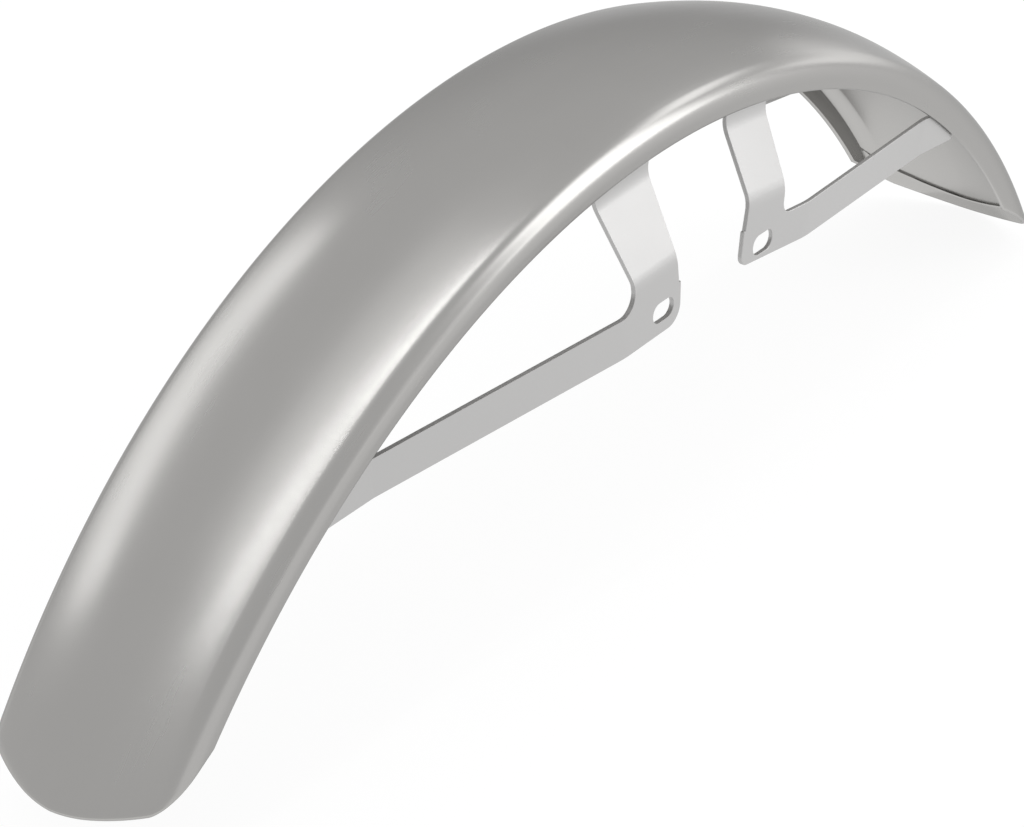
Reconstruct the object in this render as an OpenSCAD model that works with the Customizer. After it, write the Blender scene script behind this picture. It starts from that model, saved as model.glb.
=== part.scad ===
// Motorcycle front mudguard: a pressed sheet shell with folded hems, carried on
// four V-shaped strap brackets whose slotted tabs bolt to the fork legs.
// Frame: X forward to the front tip, Y to the left side, Z up, the slots' line level.
// The shape is worked out about the wheel centre, then moved so that its origin lies
// under the middle of the length, level with the rear end, which hangs lowest.

/* [Arc over the wheel] */
// Outer radius of the crown over the wheel centre
crown_r = 370; // [330:1:420]
// Angle from the top of the arc back to the rear end of the crown
rear_angle = 61.9; // [54:0.1:66]
// Angle from the top of the arc forward to the front tip of the crown
tip_angle = 57.2; // [52:0.1:66]
// Lean of each half of the shell, which narrows it toward both ends
narrowing = 1.655; // [0:0.005:2.5]
// Angle from the top at which the shell has its middle width
mid_angle = 38; // [30:1:45]

/* [Shell section] */
// Width of the shell at its middle width
mid_w = 87.2; // [76:0.2:104]
// Thickness of the sheet
sheet_t = 1; // [0.8:0.1:1.4]
// Radius of the middle of the crown, seen end-on
dome_r = 95; // [70:1:140]
// Half angle of the middle arc of the crown
dome_turn = 11.5; // [8:0.5:14]
// Radius of the flatter flank beside it
flank_r = 142; // [100:1:200]
// Radius of the shoulder from the flank to the side wall
shoulder_r = 9; // [7:0.5:12]
// Direction of the side wall: 90 is upright, more turns its edge inward
wall_turn = 100; // [92:0.5:104]
// Straight height of the side wall above its rounded edge
wall_h = 4.4; // [3:0.2:8]

/* [Hems] */
// Width of the folded hem along both sides
side_hem = 8.5; // [7:0.5:11]
// Width of the folded hem around the rear end
rear_hem = 8.5; // [6:0.5:12]
// Width of the folded hem around the tip
tip_hem = 8.5; // [6:0.5:11]

/* [Ends of the shell] */
// Slant of the cut that rounds the rear end: 0 is square to the sheet
rear_slant = 61; // [40:0.5:64]
// Slant of the cut that rounds the front tip
tip_slant = 58; // [40:0.5:64]
// Extra slant of the hem's inner edge, which keeps the hem's width around the ends
hem_slant = 6; // [0:0.5:8]

/* [Brackets, both pairs] */
// Thickness of the bracket plate
plate_t = 2; // [1.5:0.1:3]
// Distance from the middle plane to the outer face of the slotted tabs
tab_y = 57; // [53:0.5:64]
// Height of the crown's top over the line of the slots
slot_drop = 80.2; // [76:0.2:86]
// Distance from the front slot to the rear slot
slot_spacing = 69.8; // [64:0.2:76]
// Distance from the wheel centre forward to the middle of the slots
slot_ahead = -15.6; // [-22:0.2:-8]
// Width of each slot
slot_w = 8.5; // [6.5:0.1:10]
// Length of each slot from end to end
slot_l = 14; // [11:0.2:17]
// Inner radius of the bend at the foot of each short leg
leg_bend_r = 14; // [6:1:20]
// Inner radius of the bend at the root of each long strap
strap_bend_r = 60; // [20:5:90]
// Radius of the return bends that lay the plate along the side wall
return_bend_r = 12; // [6:1:20]
// Gap left between each bracket's seat and the hem
seat_gap = 0.15; // [0.05:0.05:0.3]
// Height of each bracket's seat inside the edge of the shell
seat_h = 8; // [6:0.5:9]
// Height over the slots at which each short leg has its top width
leg_taper_h = 60; // [50:1:70]

/* [Front bracket] */
// Angle by which the strap falls forward
front_fall = 0.7; // [0:0.1:4]
// Distance from the slot to the tab's rear edge
front_end = 11.6; // [10:0.2:14]
// Distance from the slot down to the lower edge
front_low = 9.3; // [8:0.1:12]
// Radius of the tab's lower corner
front_round = 8; // [4:0.5:9]
// Width of the strap beside the tab
front_strap_w = 17; // [14:0.2:19]
// Width of the strap at its end
front_strap_end_w = 16.2; // [14:0.2:20]
// Distance from the slot to the strap's end inside the shell
front_strap_l = 200; // [190:1:220]
// Distance from the slot to the strap's bend
front_bend_u = 25.4; // [24:0.2:34]
// Height of the short leg's bend over the slot
front_bend_w = 18.9; // [17:0.1:22]
// Distance from the slot to the leg's rear edge at its bend
front_leg_rear = 8.9; // [7:0.1:11]
// The same distance at the leg's top
front_leg_rear_top = 9.8; // [7:0.1:13]
// Distance from the slot to the leg's front edge at its bend
front_leg_front = 19.2; // [16:0.1:22]
// The same distance at the leg's top
front_leg_front_top = 26.6; // [20:0.1:30]
// Radius of the inner corner between leg and strap
front_fillet = 8; // [4:0.5:9]

/* [Rear bracket] */
// Angle by which the strap falls rearward
rear_fall = 7.3; // [4:0.1:9]
// Distance from the slot to the tab's front edge
rear_end = 15.1; // [12:0.1:17]
// Distance from the slot down to the lower edge
rear_low = 6.6; // [6.2:0.1:9]
// Radius of the tab's lower corner
rear_round = 4.5; // [3:0.5:6]
// Width of the strap beside the tab
rear_strap_w = 15; // [13:0.2:18]
// Width of the strap at its end
rear_strap_end_w = 16.2; // [14:0.2:20]
// Distance from the slot to the strap's end inside the shell
rear_strap_l = 180; // [175:1:200]
// Distance from the slot to the strap's bend
rear_bend_u = 33; // [30:0.5:38]
// Height of the short leg's bend over the slot
rear_bend_w = 20.6; // [18:0.1:24]
// Distance from the slot to the leg's front edge at its bend
rear_leg_front = 13.3; // [11:0.1:15]
// The same distance at the leg's top
rear_leg_front_top = 13.9; // [11:0.1:16]
// Distance from the slot to the leg's rear edge at its bend
rear_leg_rear = 13; // [11:0.1:15]
// The same distance at the leg's top
rear_leg_rear_top = 15.9; // [12:0.1:18]
// Radius of the inner corner between leg and strap
rear_fillet = 5.5; // [3:0.5:8]

/* [Hidden] */
$fn = 72;
arc_fn = 240;
far = 900;

// Section: turning angle where the flank meets the shoulder, and the shoulder's centre
flank_turn = asin((mid_w/2 - shoulder_r + (flank_r - dome_r)*sin(dome_turn)) / (flank_r - shoulder_r));
dome_c = crown_r - dome_r;
flank_cr = dome_c + (dome_r - flank_r)*cos(dome_turn);
flank_cy = (dome_r - flank_r)*sin(dome_turn);
shoulder_cr = flank_cr + (flank_r - shoulder_r)*cos(flank_turn);
shoulder_cy = flank_cy + (flank_r - shoulder_r)*sin(flank_turn);
hem_turn = (side_hem - wall_h - sheet_t) / (shoulder_r - 1.5*sheet_t) * 180/PI;

// Each half leans by this angle about X, and its section turns back by this much
lean_back = asin(sin(narrowing)*cos(mid_angle));

// A point of the side wall, depth d under its outer face and length l down the wall
function wall_r(d, l) = shoulder_cr + (shoulder_r - d)*cos(wall_turn) - l*sin(wall_turn);
function wall_y(d, l) = shoulder_cy + (shoulder_r - d)*sin(wall_turn) + l*cos(wall_turn);
// The same point in the leaning half: along the axle line, and out from it
function wall_s(d, l) = wall_y(d, l)*cos(lean_back) - wall_r(d, l)*sin(lean_back);
function wall_q(d, l) = wall_y(d, l)*sin(lean_back) + wall_r(d, l)*cos(lean_back);
// Its distance from the middle plane at an angle from the top
function side_y(a, d, l) = wall_s(d, l)*cos(narrowing) + wall_q(d, l)*cos(a)*sin(narrowing);
// Its distance from the wheel centre, seen from the side
function side_r(a, d, l) = norm([wall_q(d, l)*sin(a),
    wall_q(d, l)*cos(a)*cos(narrowing) - wall_s(d, l)*sin(narrowing)]);

// Height of the slots over the wheel centre
slot_up = crown_r - slot_drop;

rim_l = wall_h + sheet_t;
top_rim_r = side_r(0, sheet_t, rim_l);

// The origin lies under the middle of the length, level with the lower end
mid_x = crown_r*(sin(tip_angle) - sin(rear_angle))/2;
floor_z = crown_r*cos(max(rear_angle, tip_angle));

// Points along an arc of radius r about the centre c, from one angle to another
function arc(c, r, a0, a1, n, first = 0) =
    [for (i = [first:n]) c + r*[cos(a0 + (a1 - a0)*i/n), sin(a0 + (a1 - a0)*i/n)]];
function reversed(p) = [for (i = [len(p) - 1:-1:0]) p[i]];

// A line within the sheet at depth d: from just past the middle plane over the dome,
// the flank and the shoulder, stopping the given turn short of the side wall
function skin_line(d, short) = concat(
    arc([dome_c, 0], dome_r - d, -3, dome_turn, 5),
    arc([flank_cr, flank_cy], flank_r - d, dome_turn, flank_turn, 3, 1),
    arc([shoulder_cr, shoulder_cy], shoulder_r - d, flank_turn, wall_turn - short, 10, 1));

// The doubled sheet: crown, shoulder, side wall and the rounded fold at its edge
module doubled_section() {
    fold = [shoulder_cr, shoulder_cy] + (shoulder_r - sheet_t)*[cos(wall_turn), sin(wall_turn)]
        + wall_h*[-sin(wall_turn), cos(wall_turn)];
    polygon(concat(skin_line(0, 0), arc(fold, sheet_t, wall_turn, wall_turn + 180, 6),
                   reversed(skin_line(2*sheet_t, 0))));
}

// The inner ply, and a little air inside it, as far as the hems along the sides
module inner_ply() {
    polygon(concat(skin_line(sheet_t, hem_turn), reversed(skin_line(2*sheet_t + 0.6, hem_turn))));
}

// Turns a section of one half about its leaning axle line
module half_turn(a0, a1) {
    rotate([-narrowing, 0, 0]) rotate([-90, -90, 0])
        rotate_extrude(start = a0, angle = a1 - a0, $fn = arc_fn) rotate(-lean_back) children();
}

// What a slanted cut takes off one end of the crown, its edge set back by d. The cut
// runs from the crown's end in and back to the edge of the side wall.
module end_cut(angle, slant, d) {
    rotate([0, angle, 0]) translate([-d, 0, crown_r]) rotate([0, slant, 0])
        translate([0, -10, -90]) cube([160, 100, 130]);
}

module both_ends_cut(hemmed, more) {
    end_cut(tip_angle, tip_slant + more, hemmed ? tip_hem : 0);
    mirror([1, 0, 0]) end_cut(rear_angle, rear_slant + more, hemmed ? rear_hem : 0);
}

// Left half: the doubled sheet trimmed at both ends, less the inner ply inside the hems
module half_shell() {
    difference() {
        intersection() {
            half_turn(-rear_angle - 1, tip_angle + 1) doubled_section();
            translate([-far/2, 0, 0]) cube([far, 100, far/2]);
        }
        difference() {
            half_turn(-rear_angle, tip_angle) inner_ply();
            both_ends_cut(true, hem_slant);
        }
        both_ends_cut(false, 0);
    }
}

module shell() {
    color([0.63, 0.63, 0.62]) translate([-mid_x, 0, -floor_z]) {
        half_shell();
        mirror([0, 1, 0]) half_shell();
    }
}

// Edge-on profile of a bent plate, outer face up: flat at height y0, turned inward
// at v1, then at v2 turned back out to the height y1 and on at the end angle
module plate_profile(y0, y1, v1, v2, r1, end_angle, end_l) {
    a1 = atan((y0 - y1)/(v2 - v1));
    t1 = (r1 + plate_t)*tan(a1/2);
    t2 = return_bend_r*tan((a1 + end_angle)/2);
    run = (v2 - v1)/cos(a1) - t1 - t2;
    c1 = [v1 - t1, y0 - plate_t - r1];
    c2 = c1 + (r1 + plate_t + return_bend_r)*[sin(a1), cos(a1)] + run*[cos(a1), -sin(a1)];
    tail = [cos(end_angle), sin(end_angle)];
    back = [-sin(end_angle), cos(end_angle)];
    polygon(concat([[-far/2, y0]], arc(c1, r1 + plate_t, 90, 90 - a1, 5),
        arc(c2, return_bend_r, -90 - a1, -90 + end_angle, 5),
        [c2 - return_bend_r*back + end_l*tail, c2 - (return_bend_r + plate_t)*back + end_l*tail],
        reversed(arc(c2, return_bend_r + plate_t, -90 - a1, -90 + end_angle, 5)),
        reversed(arc(c1, r1, 90, 90 - a1, 5)), [[-far/2, y0 - plate_t]]));
}

// Flat outline of a V bracket about its slot: u runs along the strap, w up the leg
module v_outline(end, low, round_r, strap_w, strap_end_w, strap_l, leg_w, back_u, back_top,
                 front_u, front_top, fillet_r) {
    up = strap_w - low;
    difference() {
        union() {
            polygon([[-end, -low], [strap_l, -low], [strap_l, strap_end_w - low],
                     [front_u, up], [-end, up]]);
            polygon([[-end, -low + round_r], [-back_u, leg_w], [-back_top, leg_taper_h],
                     [front_top, leg_taper_h], [front_u, leg_w], [front_u, -low + round_r]]);
            difference() {
                translate([front_u - 1, up - 1]) square(fillet_r + 1);
                translate([front_u + fillet_r, up + fillet_r]) circle(fillet_r);
            }
        }
        difference() {
            translate([-end - 1, -low - 1]) square(round_r + 1);
            translate([-end + round_r, -low + round_r]) circle(round_r);
        }
    }
}

module slot_shape() {
    for (s = [-1, 1]) translate([s*(slot_l - slot_w)/2, 0]) circle(slot_w/2);
    square([slot_l - slot_w, slot_w], center = true);
}

// Angle in degrees by which a leg's end leans out, a little less than the wall does
leg_end = wall_turn - 91.5;
// Angle by which a strap's end follows the side wall as the shell narrows
strap_end = -1.2;
// Distance from a return bend to the edge of the shell
return_gap = 3.5;

// Wheel centre and the shell's edge in a bracket's own frame, for a slot at
// distance sx along the arc from the top
function centre_u(sx, fall) = slot_up*sin(fall) - sx*cos(fall);
function centre_w(sx, fall) = -slot_up*cos(fall) - sx*sin(fall);
function edge_w(sx, fall, u) = centre_w(sx, fall)
    + sqrt(pow(top_rim_r, 2) - pow(u - centre_u(sx, fall), 2));
function edge_u(sx, fall, w) = centre_u(sx, fall)
    + sqrt(pow(top_rim_r, 2) - pow(w - centre_w(sx, fall), 2));
// Face of the hem that a seat lies against, at a distance x from the top of the arc
function hem_y(x) = side_y(asin(x/top_rim_r), 2*sheet_t, wall_h);

// A V bracket about its slot, u along the strap and w up the leg. The strap's part
// and the leg's part are bent plates cut by one outline, joined in the flat tab.
module v_bracket(sx, fall, strap_v, strap_top, leg_v, leg_top) {
    strap_r = edge_u(sx, fall, strap_top) - return_gap;
    strap_y = hem_y(sx + strap_r) - seat_gap - return_gap*tan(strap_end);
    leg_r = edge_w(sx, fall, leg_top) - return_gap;
    leg_y = hem_y(sx + leg_top) - seat_gap
        - (centre_w(sx, fall) + top_rim_r - leg_r)*tan(leg_end);
    split = leg_v - (leg_bend_r + plate_t)*tan(atan((tab_y - leg_y)/(leg_r - leg_v))/2);
    intersection() {
        union() {
            intersection() {
                translate([0, 0, -far/2]) linear_extrude(far/2 + split)
                    plate_profile(tab_y, strap_y, strap_v, strap_r, strap_bend_r, strap_end, 80);
                rotate([90, 0, 0]) linear_extrude(far, center = true) children();
            }
            intersection() {
                rotate([0, -90, 0]) linear_extrude(far, center = true) intersection() {
                    plate_profile(tab_y, leg_y, leg_v, leg_r, leg_bend_r, leg_end, 40);
                    translate([split - 0.5, 0]) square([far, far]);
                }
                rotate([90, 0, 0]) linear_extrude(far, center = true) children();
            }
        }
        translate([centre_u(sx, fall), 0, centre_w(sx, fall)]) rotate([90, 0, 0])
            cylinder(r = top_rim_r + seat_h, h = far, center = true, $fn = arc_fn);
    }
}

module front_bracket() {
    sx = slot_ahead + slot_spacing/2;
    color([0.72, 0.72, 0.71]) translate([sx - mid_x, 0, slot_up - floor_z])
        rotate([0, front_fall, 0])
        v_bracket(sx, front_fall, front_bend_u, front_strap_w - front_low,
                  front_bend_w, front_leg_front_top)
        difference() {
            v_outline(front_end, front_low, front_round, front_strap_w, front_strap_end_w,
                      front_strap_l, front_bend_w, front_leg_rear, front_leg_rear_top,
                      front_leg_front, front_leg_front_top, front_fillet);
            rotate(front_fall) slot_shape();
        }
}

module rear_bracket() {
    sx = slot_spacing/2 - slot_ahead;
    color([0.72, 0.72, 0.71]) translate([-sx - mid_x, 0, slot_up - floor_z])
        mirror([1, 0, 0]) rotate([0, rear_fall, 0])
        v_bracket(sx, rear_fall, rear_bend_u, rear_strap_end_w - rear_low,
                  rear_bend_w, rear_leg_rear_top)
        difference() {
            v_outline(rear_end, rear_low, rear_round, rear_strap_w, rear_strap_end_w,
                      rear_strap_l, rear_bend_w, rear_leg_front, rear_leg_front_top,
                      rear_leg_rear, rear_leg_rear_top, rear_fillet);
            rotate(rear_fall) slot_shape();
        }
}

shell();
front_bracket();  // bracket_front_left
mirror([0, 1, 0]) front_bracket();  // bracket_front_right
rear_bracket();  // bracket_rear_left
mirror([0, 1, 0]) rear_bracket();  // bracket_rear_right
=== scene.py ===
import math

import bpy
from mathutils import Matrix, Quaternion, Vector


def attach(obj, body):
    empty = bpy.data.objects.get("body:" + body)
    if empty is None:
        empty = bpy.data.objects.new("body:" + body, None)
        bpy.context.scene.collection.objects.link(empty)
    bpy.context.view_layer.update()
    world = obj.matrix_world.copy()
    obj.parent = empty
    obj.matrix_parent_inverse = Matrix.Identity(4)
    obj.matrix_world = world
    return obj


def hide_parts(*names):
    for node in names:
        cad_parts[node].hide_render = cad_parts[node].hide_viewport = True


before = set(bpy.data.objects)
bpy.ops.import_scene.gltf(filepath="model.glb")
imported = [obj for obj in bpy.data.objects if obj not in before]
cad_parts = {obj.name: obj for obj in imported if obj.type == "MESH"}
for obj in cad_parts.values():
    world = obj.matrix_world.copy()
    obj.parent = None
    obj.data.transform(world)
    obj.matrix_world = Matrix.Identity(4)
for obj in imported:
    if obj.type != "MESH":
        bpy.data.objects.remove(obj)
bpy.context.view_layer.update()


# Pressed steel shell.
# One sheet of 1 mm steel, rolled and pressed to an arched section, with its edge
# folded flat inward all round and both ends trimmed to a round.
crown_r = 0.370
rear_angle = math.radians(61.9)
tip_angle = math.radians(57.2)
lean = math.radians(1.655)
mid_angle = math.radians(38)
half_w = 0.0436
sheet_t = 0.001
dome_r = 0.095
dome_turn = math.radians(11.5)
flank_r = 0.142
shoulder_r = 0.009
wall_turn = math.radians(100)
wall_h = 0.0044
hem_w = 0.0085
hem_edge_r = 0.0002
rear_slant = math.radians(61)
tip_slant = math.radians(58)
hem_slant = math.radians(6)
rear_trim = 0.0006
smooth_below = math.radians(50)
shell_colour = (0.437, 0.431, 0.420)
shell_shade = 0.04
shell_roughness = 0.24
shell_edge_tint = 0.6

flank_turn = math.asin(
    (half_w - shoulder_r + (flank_r - dome_r) * math.sin(dome_turn)) / (flank_r - shoulder_r)
)
dome_c = crown_r - dome_r
flank_c = (
    -(flank_r - dome_r) * math.sin(dome_turn),
    dome_c - (flank_r - dome_r) * math.cos(dome_turn),
)
shoulder_c = (
    flank_c[0] + (flank_r - shoulder_r) * math.sin(flank_turn),
    flank_c[1] + (flank_r - shoulder_r) * math.cos(flank_turn),
)
turn_back = math.asin(math.sin(lean) * math.cos(mid_angle))
dome_end = dome_r * dome_turn
flank_end = dome_end + flank_r * (flank_turn - dome_turn)
shoulder_end = flank_end + shoulder_r * (wall_turn - flank_turn)
wall_end = shoulder_end + wall_h
hem_start = shoulder_end - shoulder_r * (hem_w - wall_h - sheet_t) / (shoulder_r - 1.5 * sheet_t)
wheel_centre = Vector((
    -crown_r * (math.sin(tip_angle) - math.sin(rear_angle)) / 2,
    0,
    -crown_r * math.cos(rear_angle),
))

dome_steps, flank_steps, side_steps = 7, 7, 16
columns = dome_steps + flank_steps + side_steps
rows = 220


def section_point(s, depth):
    """Distance from the middle and from the axle line, at s along the outer face."""
    if s <= dome_end:
        turn, centre, radius = s / dome_r, (0, dome_c), dome_r
    elif s <= flank_end:
        turn, centre, radius = dome_turn + (s - dome_end) / flank_r, flank_c, flank_r
    else:
        turn = min(wall_turn, flank_turn + (s - flank_end) / shoulder_r)
        centre, radius = shoulder_c, shoulder_r
    down = max(0, s - shoulder_end)
    y = centre[0] + (radius - depth) * math.sin(turn) + down * math.cos(turn)
    r = centre[1] + (radius - depth) * math.cos(turn) - down * math.sin(turn)
    return y, r


def leaning(s, depth):
    """The same point once the section is turned back, in the leaning half's own axes."""
    y, r = section_point(s, depth)
    return (
        y * math.cos(turn_back) - r * math.sin(turn_back),
        y * math.sin(turn_back) + r * math.cos(turn_back),
    )


def shell_point(s, angle, depth, side):
    """A point of the sheet: angle is from the top of the arc, forward."""
    along_axle, out = leaning(s, depth)
    y = along_axle * math.cos(lean) + out * math.cos(angle) * math.sin(lean)
    z = out * math.cos(angle) * math.cos(lean) - along_axle * math.sin(lean)
    return wheel_centre + Vector((out * math.sin(angle), side * y, z))


def middle(angle, depth):
    """Where the left half's section crosses the middle plane, as s."""
    a = math.cos(turn_back) * math.cos(lean) + math.sin(turn_back) * math.cos(angle) * math.sin(lean)
    b = math.cos(turn_back) * math.cos(angle) * math.sin(lean) - math.sin(turn_back) * math.cos(lean)
    reach = math.hypot(a, b)
    turn = math.asin(-dome_c * b / ((dome_r - depth) * reach)) - math.atan2(b, a)
    return dome_r * turn


def end_angle(s, crown_end, slant, inset):
    """Angle at which the slanted cut, set in by inset, crosses the outer face at s."""
    cut = slant + hem_slant * inset / hem_w
    tilt = crown_end + cut
    along_axle, out = leaning(s, 0)
    held = -crown_r * math.sin(cut) - inset * math.cos(cut)
    a = out * math.cos(tilt)
    b = out * math.cos(lean) * math.sin(tilt)
    value = (held - along_axle * math.sin(lean) * math.sin(tilt)) / math.hypot(a, b)
    return math.atan2(b, a) + math.asin(value)


def column_s(i, edge_s, angle, depth):
    """s of column i of one half, for a sheet that ends at edge_s."""
    if i <= dome_steps:
        start = middle(angle, depth)
        return start + (dome_end - start) * i / dome_steps
    if i <= dome_steps + flank_steps:
        return dome_end + (flank_end - dome_end) * (i - dome_steps) / flank_steps
    return flank_end + (edge_s - flank_end) * (i - dome_steps - flank_steps) / side_steps


def grid_point(i, j, edge_s, inset, depth):
    """A point of the sheet: i across from -columns to columns, j along from the rear."""
    side = -1 if i < 0 else 1
    rear_s = column_s(abs(i), edge_s, rear_angle, depth)
    tip_s = column_s(abs(i), edge_s, tip_angle, depth)
    rear = -end_angle(rear_s, rear_angle, rear_slant, inset + rear_trim)
    tip = end_angle(tip_s, tip_angle, tip_slant, inset)
    angle = rear + (tip - rear) * j / rows
    s = column_s(abs(i), edge_s, angle, depth)
    return shell_point(s, angle, depth, side), angle * crown_r, side * s


def shell_loops():
    """(edge_s, inset, depth) of each loop from the outer face's edge to the hem's."""
    fold_steps, hem_steps = 8, 8
    loops = []
    for k in range(1, fold_steps):
        turn = math.pi * k / fold_steps
        out = sheet_t * math.sin(turn)
        loops.append((wall_end + out, sheet_t - out, sheet_t * (1 - math.cos(turn))))
    for k in range(hem_steps + 1):
        part = k / hem_steps
        edge_s = wall_end + (hem_start + hem_edge_r - wall_end) * part
        inset = sheet_t + (hem_w - hem_edge_r - sheet_t) * part
        loops.append((edge_s, inset, 2 * sheet_t))
    loops.append((hem_start, hem_w, 2 * sheet_t - hem_edge_r))
    return loops


def shell_mesh():
    """Outer face, fold, hem and inner face as one closed mesh of quads."""
    verts, faces, along, across, rim = [], [], [], [], []

    def add(i, j, edge_s, inset, depth, rim_gap):
        point, arc, s = grid_point(i, j, edge_s, inset, depth)
        verts.append(point)
        along.append(arc)
        across.append(s)
        rim.append(rim_gap)
        return len(verts) - 1

    def sheet(edge_s, inset, depth):
        nodes = {}
        for i in range(-columns, columns + 1):
            for j in range(rows + 1):
                side_gap = wall_end + sheet_t - column_s(abs(i), edge_s, 0, depth)
                end_gap = inset + min(j, rows - j) * (tip_angle + rear_angle) * crown_r / rows
                nodes[i, j] = add(i, j, edge_s, inset, depth, min(side_gap, end_gap))
        return nodes

    def quads(nodes, flip):
        for i in range(-columns, columns):
            for j in range(rows):
                quad = [nodes[i, j], nodes[i + 1, j], nodes[i + 1, j + 1], nodes[i, j + 1]]
                faces.append(quad[::-1] if flip else quad)

    border = [(i, 0) for i in range(-columns, columns)]
    border += [(columns, j) for j in range(rows)]
    border += [(i, rows) for i in range(columns, -columns, -1)]
    border += [(-columns, j) for j in range(rows, 0, -1)]

    outer = sheet(wall_end, sheet_t, 0)
    inner = sheet(hem_start, hem_w, sheet_t)
    quads(outer, False)
    quads(inner, True)
    rings = [[outer[key] for key in border]]
    for edge_s, inset, depth in shell_loops():
        rings.append([add(i, j, edge_s, inset, depth, inset) for i, j in border])
    rings.append([inner[key] for key in border])
    for first, second in zip(rings, rings[1:]):
        for k in range(len(border)):
            after = (k + 1) % len(border)
            faces.append([first[after], first[k], second[k], second[after]])

    mesh = bpy.data.meshes.new("shell_sheet")
    mesh.from_pydata(verts, [], faces)
    for name, values in (("along", along), ("across", across), ("rim", rim)):
        mesh.attributes.new(name, "FLOAT", "POINT").data.foreach_set("value", values)
    mesh.shade_smooth()
    mesh.set_sharp_from_angle(angle=smooth_below)
    mesh.validate()
    return mesh


class Field:
    """A socket of a material's nodes, with the operators that its shading uses."""

    def __init__(self, tree, socket=None):
        self.tree = tree
        self.socket = socket

    def node(self, kind, settings=None, inputs=None, output=0):
        made = self.tree.nodes.new(kind)
        for name, value in (settings or {}).items():
            if name == "stops":
                for place, stop in zip(value, made.color_ramp.elements):
                    stop.position, stop.color = place[0], (*[place[1]] * 3, 1)
            else:
                setattr(made, name, value)
        for name, value in (inputs or {}).items():
            if isinstance(value, Field):
                self.tree.links.new(value.socket, made.inputs[name])
            else:
                made.inputs[name].default_value = value
        return Field(self.tree, made.outputs[output] if made.outputs else None)

    def math(self, operation, first, second):
        return self.node("ShaderNodeMath", {"operation": operation}, {0: first, 1: second})

    def __add__(self, other):
        return self.math("ADD", self, other)

    def __radd__(self, other):
        return self.math("ADD", other, self)

    def __sub__(self, other):
        return self.math("SUBTRACT", self, other)

    def __mul__(self, other):
        return self.math("MULTIPLY", self, other)

    def __rmul__(self, other):
        return self.math("MULTIPLY", other, self)


def satin_steel(name, colour, shade, roughness, edge_tint, place, rim=None):
    """Bare satin steel: fine grain, faint rolling lines, handling marks, a few specks, and worn edges
    lightened with a painted highlight.
    """
    material = bpy.data.materials.new(name)
    material.use_nodes = True
    tree = material.node_tree
    tree.nodes.clear()
    start = Field(tree)
    where = place(start)

    def stretched(scale):
        return start.node("ShaderNodeVectorMath", {"operation": "MULTIPLY"}, {0: where, 1: scale})

    def noise(vector, scale, detail, rough=0.5):
        return start.node("ShaderNodeTexNoise", None, {
            "Vector": vector, "Scale": scale, "Detail": detail, "Roughness": rough,
        })

    grains_per_m, rolling_lines_per_m, smudges_per_m = 900, 420, 16
    patches_per_m, waves_per_m, specks_per_m = 55, 14, 42
    speck_size = 0.028
    speck_colour = (0.12, 0.11, 0.10, 1)
    wear_and_sheen_full, wear_and_sheen_none = 0.0008, 0.0026
    grain_depth, wave_depth = 0.00003, 0.0012

    grain = noise(where, grains_per_m, 3, 0.6)
    rolling = noise(stretched((0.05, 1, 1)), rolling_lines_per_m, 2)
    smudges = noise(where, smudges_per_m, 4, 0.55)
    patches = noise(stretched((0.5, 1, 1)), patches_per_m, 3)
    waves = noise(stretched((0.6, 1, 1)), waves_per_m, 1)
    cells = start.node("ShaderNodeTexVoronoi", None, {"Vector": where, "Scale": specks_per_m})
    specks = start.node("ShaderNodeValToRGB", {"stops": ((0.0, 1.0), (speck_size, 0.0))}, {"Fac": cells})
    # Within a few millimetres of the folded edges the steel is made lighter and smoother. The smoothness
    # is wear; the lighter tone is partly wear and partly a painted highlight along the hems.
    wear_and_sheen = 0.0
    if rim is not None:
        edge = start.node("ShaderNodeMapRange", {"interpolation_type": "SMOOTHSTEP"}, {
            "Value": rim(start), "From Min": wear_and_sheen_full, "From Max": wear_and_sheen_none,
            "To Min": 1.0, "To Max": 0.0,
        })
        wear_and_sheen = edge * (0.4 + 0.6 * patches)
    tone = 0.35 * smudges + 0.3 * patches + 0.2 * rolling + 0.15 * grain + 0.25 * wear_and_sheen
    darker = (*[channel * (1 - shade) for channel in colour], 1)
    lighter = (*[channel * (1 + shade) for channel in colour], 1)
    steel = start.node("ShaderNodeMix", {"data_type": "RGBA"}, {
        "Factor": tone, 6: darker, 7: lighter,
    }, output=2)
    base = start.node("ShaderNodeMix", {"data_type": "RGBA"}, {
        "Factor": 0.35 * specks, 6: steel, 7: speck_colour,
    }, output=2)
    rough = roughness - 0.05 + 0.06 * smudges + 0.05 * patches + 0.03 * rolling - 0.05 * wear_and_sheen
    relief = start.node("ShaderNodeBump", None, {
        "Strength": 1.0, "Distance": wave_depth, "Height": 0.14 * waves,
    })
    relief = start.node("ShaderNodeBump", None, {
        "Strength": 0.2, "Distance": grain_depth, "Height": grain + 0.5 * rolling, "Normal": relief,
    })
    shader = start.node("ShaderNodeBsdfPrincipled", None, {
        "Base Color": base, "Metallic": 1.0, "Roughness": rough, "Normal": relief,
        "Specular Tint": (edge_tint, edge_tint, edge_tint, 1),
    })
    start.node("ShaderNodeOutputMaterial", None, {"Surface": shader})
    return material


def along_sheet(start):
    """Place on the unrolled sheet: metres along the arc and across it."""
    along = start.node("ShaderNodeAttribute", {"attribute_name": "along"}, None, output=2)
    across = start.node("ShaderNodeAttribute", {"attribute_name": "across"}, None, output=2)
    return start.node("ShaderNodeCombineXYZ", None, {"X": along, "Y": across})


def rim_gap(start):
    """Distance from the nearest folded edge."""
    return start.node("ShaderNodeAttribute", {"attribute_name": "rim"}, None, output=2)


shell_steel = satin_steel(
    "shell_steel", shell_colour, shell_shade, shell_roughness, shell_edge_tint, along_sheet, rim_gap
)
shell_sheet = bpy.data.objects.new("shell_sheet", shell_mesh())
bpy.context.collection.objects.link(shell_sheet)
shell_sheet.data.materials.append(shell_steel)
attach(shell_sheet, "root")
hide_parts("shell")


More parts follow.
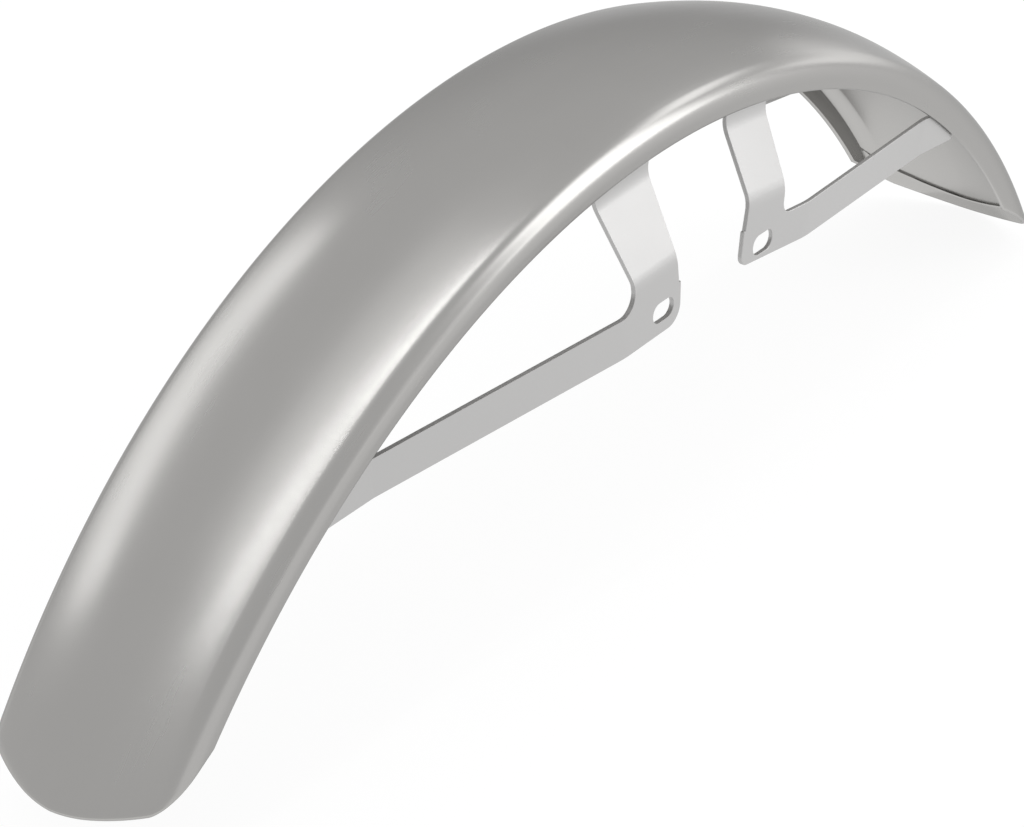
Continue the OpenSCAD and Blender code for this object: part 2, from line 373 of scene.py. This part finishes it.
# V brackets, two each side.
# Each is one piece of 2 mm steel plate, stamped to a V with a slotted tab at its corner,
# bent inward at the foot of each arm, and welded inside the shell's side wall.
plate_edge_r = 0.00035
join_gap = 0.000001
edge_from = math.radians(40)
bracket_colour = (0.535, 0.531, 0.527)
bracket_shade = 0.03
bracket_roughness = 0.44
bracket_edge_tint = 1.0


def on_plate(start):
    """Place in the bracket's own axes."""
    return start.node("ShaderNodeTexCoord", None, None, output=3)


bracket_steel = satin_steel(
    "bracket_steel", bracket_colour, bracket_shade, bracket_roughness, bracket_edge_tint, on_plate
)


def finish_bracket(bracket):
    """Eased edges and the plate's own steel, on the bracket's solid as it stands."""
    weld = bracket.modifiers.new("join", "WELD")
    weld.merge_threshold = join_gap
    ease = bracket.modifiers.new("ease", "BEVEL")
    ease.width = plate_edge_r
    ease.segments = 2
    ease.limit_method = "ANGLE"
    ease.angle_limit = edge_from
    ease.harden_normals = False
    even = bracket.modifiers.new("even", "WEIGHTED_NORMAL")
    even.keep_sharp = False
    for slot in bracket.material_slots:
        slot.material = bracket_steel


for end in ("front", "rear"):
    for side in ("left", "right"):
        finish_bracket(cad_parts[f"bracket_{end}_{side}"])


# Floor and lamps.
# A wide white floor that keeps the shadow, a pale surround, and soft boxes: a long narrow
# one overhead for the near highlight, others behind and low to the left, one on the far
# side, and a small card on the floor that lights the inside of the rear end.
floor_half = 9.0
floor_drop = 0.0005
floor_white = 0.9
floor_light = 1.03
floor_glow = 0.87
surround = 0.76
middle_of_arc = (0.0, 0.04, 0.16)


def floor_material():
    material = bpy.data.materials.new("floor_white")
    material.use_nodes = True
    tree = material.node_tree
    tree.nodes.clear()
    start = Field(tree)
    seen = start.node("ShaderNodeLightPath", None, None, output="Is Camera Ray")
    glossy = start.node("ShaderNodeLightPath", None, None, output="Is Glossy Ray")
    through = start.node("ShaderNodeLightPath", None, None, output="Is Transmission Ray")
    matt = start.node("ShaderNodeBsdfDiffuse", None, {"Color": (floor_white, floor_white, floor_white, 1)})
    glow = start.node("ShaderNodeEmission", None, {"Color": (1, 1, 1, 1), "Strength": floor_light})
    share = floor_glow * (seen + glossy + through)
    mixed = start.node("ShaderNodeMixShader", None, {0: share, 1: matt, 2: glow})
    start.node("ShaderNodeOutputMaterial", None, {"Surface": mixed})
    return material


floor_mesh = bpy.data.meshes.new("floor")
floor_mesh.from_pydata(
    [(x * floor_half, y * floor_half, 0) for x, y in ((-1, -1), (1, -1), (1, 1), (-1, 1))],
    [], [(0, 1, 2, 3)],
)
floor = bpy.data.objects.new("floor", floor_mesh)
bpy.context.collection.objects.link(floor)
floor.data.materials.append(floor_material())
floor.location.z = -floor_drop

world = bpy.data.worlds.new("surround")
bpy.context.scene.world = world
world.use_nodes = True
world.node_tree.nodes["Background"].inputs["Color"].default_value = (1, 1, 1, 1)
world.node_tree.nodes["Background"].inputs["Strength"].default_value = surround


def soft_box(name, at, aim, width, height, brightness, turn=0):
    """A rectangular lamp of that brightness per unit of its face, turned by turn degrees."""
    lamp = bpy.data.lights.new(name, "AREA")
    lamp.shape = "RECTANGLE"
    lamp.size = width
    lamp.size_y = height
    lamp.energy = brightness * math.pi * width * height
    box = bpy.data.objects.new(name, lamp)
    box.location = at
    facing = (Vector(at) - Vector(aim)).to_track_quat("Z", "Y")
    spin = Quaternion((0, 0, 1), math.radians(turn))
    box.rotation_euler = (facing @ spin).to_euler()
    bpy.context.collection.objects.link(box)


soft_box("overhead", at=(0.66, 0.08, 1.35), aim=(0.66, 0.08, 0),
         width=1.8, height=0.05, brightness=7.4, turn=-4)
soft_box("overhead_haze", at=(0.5, 0.0, 1.5), aim=(0.5, 0.0, 0),
         width=1.6, height=0.6, brightness=0.25)
soft_box("behind_left", at=(-0.72, 0.86, 0.70), aim=middle_of_arc,
         width=0.6, height=1.05, brightness=2.1)
soft_box("behind_high", at=(-1.0, 0.22, 0.90), aim=middle_of_arc,
         width=0.5, height=0.35, brightness=1.4)
soft_box("behind", at=(-1.35, 0.08, 0.30), aim=middle_of_arc,
         width=0.9, height=0.35, brightness=1.0)
soft_box("left_low", at=(-0.75, 1.15, 0.20), aim=(0.1, 0.04, 0.12),
         width=1.2, height=0.5, brightness=0.2)
soft_box("far_side", at=(0.22, -1.15, 0.71), aim=(0.2, 0.0, 0.12),
         width=1.1, height=0.26, brightness=1.35, turn=-19)
soft_box("rear_card", at=(-0.285, -0.04, 0.001), aim=(-0.285, -0.04, 1),
         width=0.05, height=0.20, brightness=0.22)


# Camera.
# The photograph's viewpoint: ahead of the guard and to its left, looking down on it.
camera_at = Vector((1.0939, 0.7579, 0.8139))
heading = math.radians(215.94)
look_down = math.radians(30.23)
roll = math.radians(0.49)
lens_mm = 133.945
sensor_mm = 36
shift = (0.0033, -0.0030)
near_clip = 0.05

camera = bpy.data.cameras.new("camera")
camera.lens = lens_mm
camera.sensor_width = sensor_mm
camera.shift_x, camera.shift_y = shift
camera.clip_start = near_clip
viewer = bpy.data.objects.new("camera", camera)
ahead = Vector((
    math.cos(look_down) * math.cos(heading),
    math.cos(look_down) * math.sin(heading),
    -math.sin(look_down),
))
level = (-ahead).to_track_quat("Z", "Y")
viewer.rotation_euler = (Quaternion(ahead, -roll) @ level).to_euler()
viewer.location = camera_at
bpy.context.collection.objects.link(viewer)
bpy.context.scene.camera = viewer
bpy.context.scene.view_settings.view_transform = "Standard"
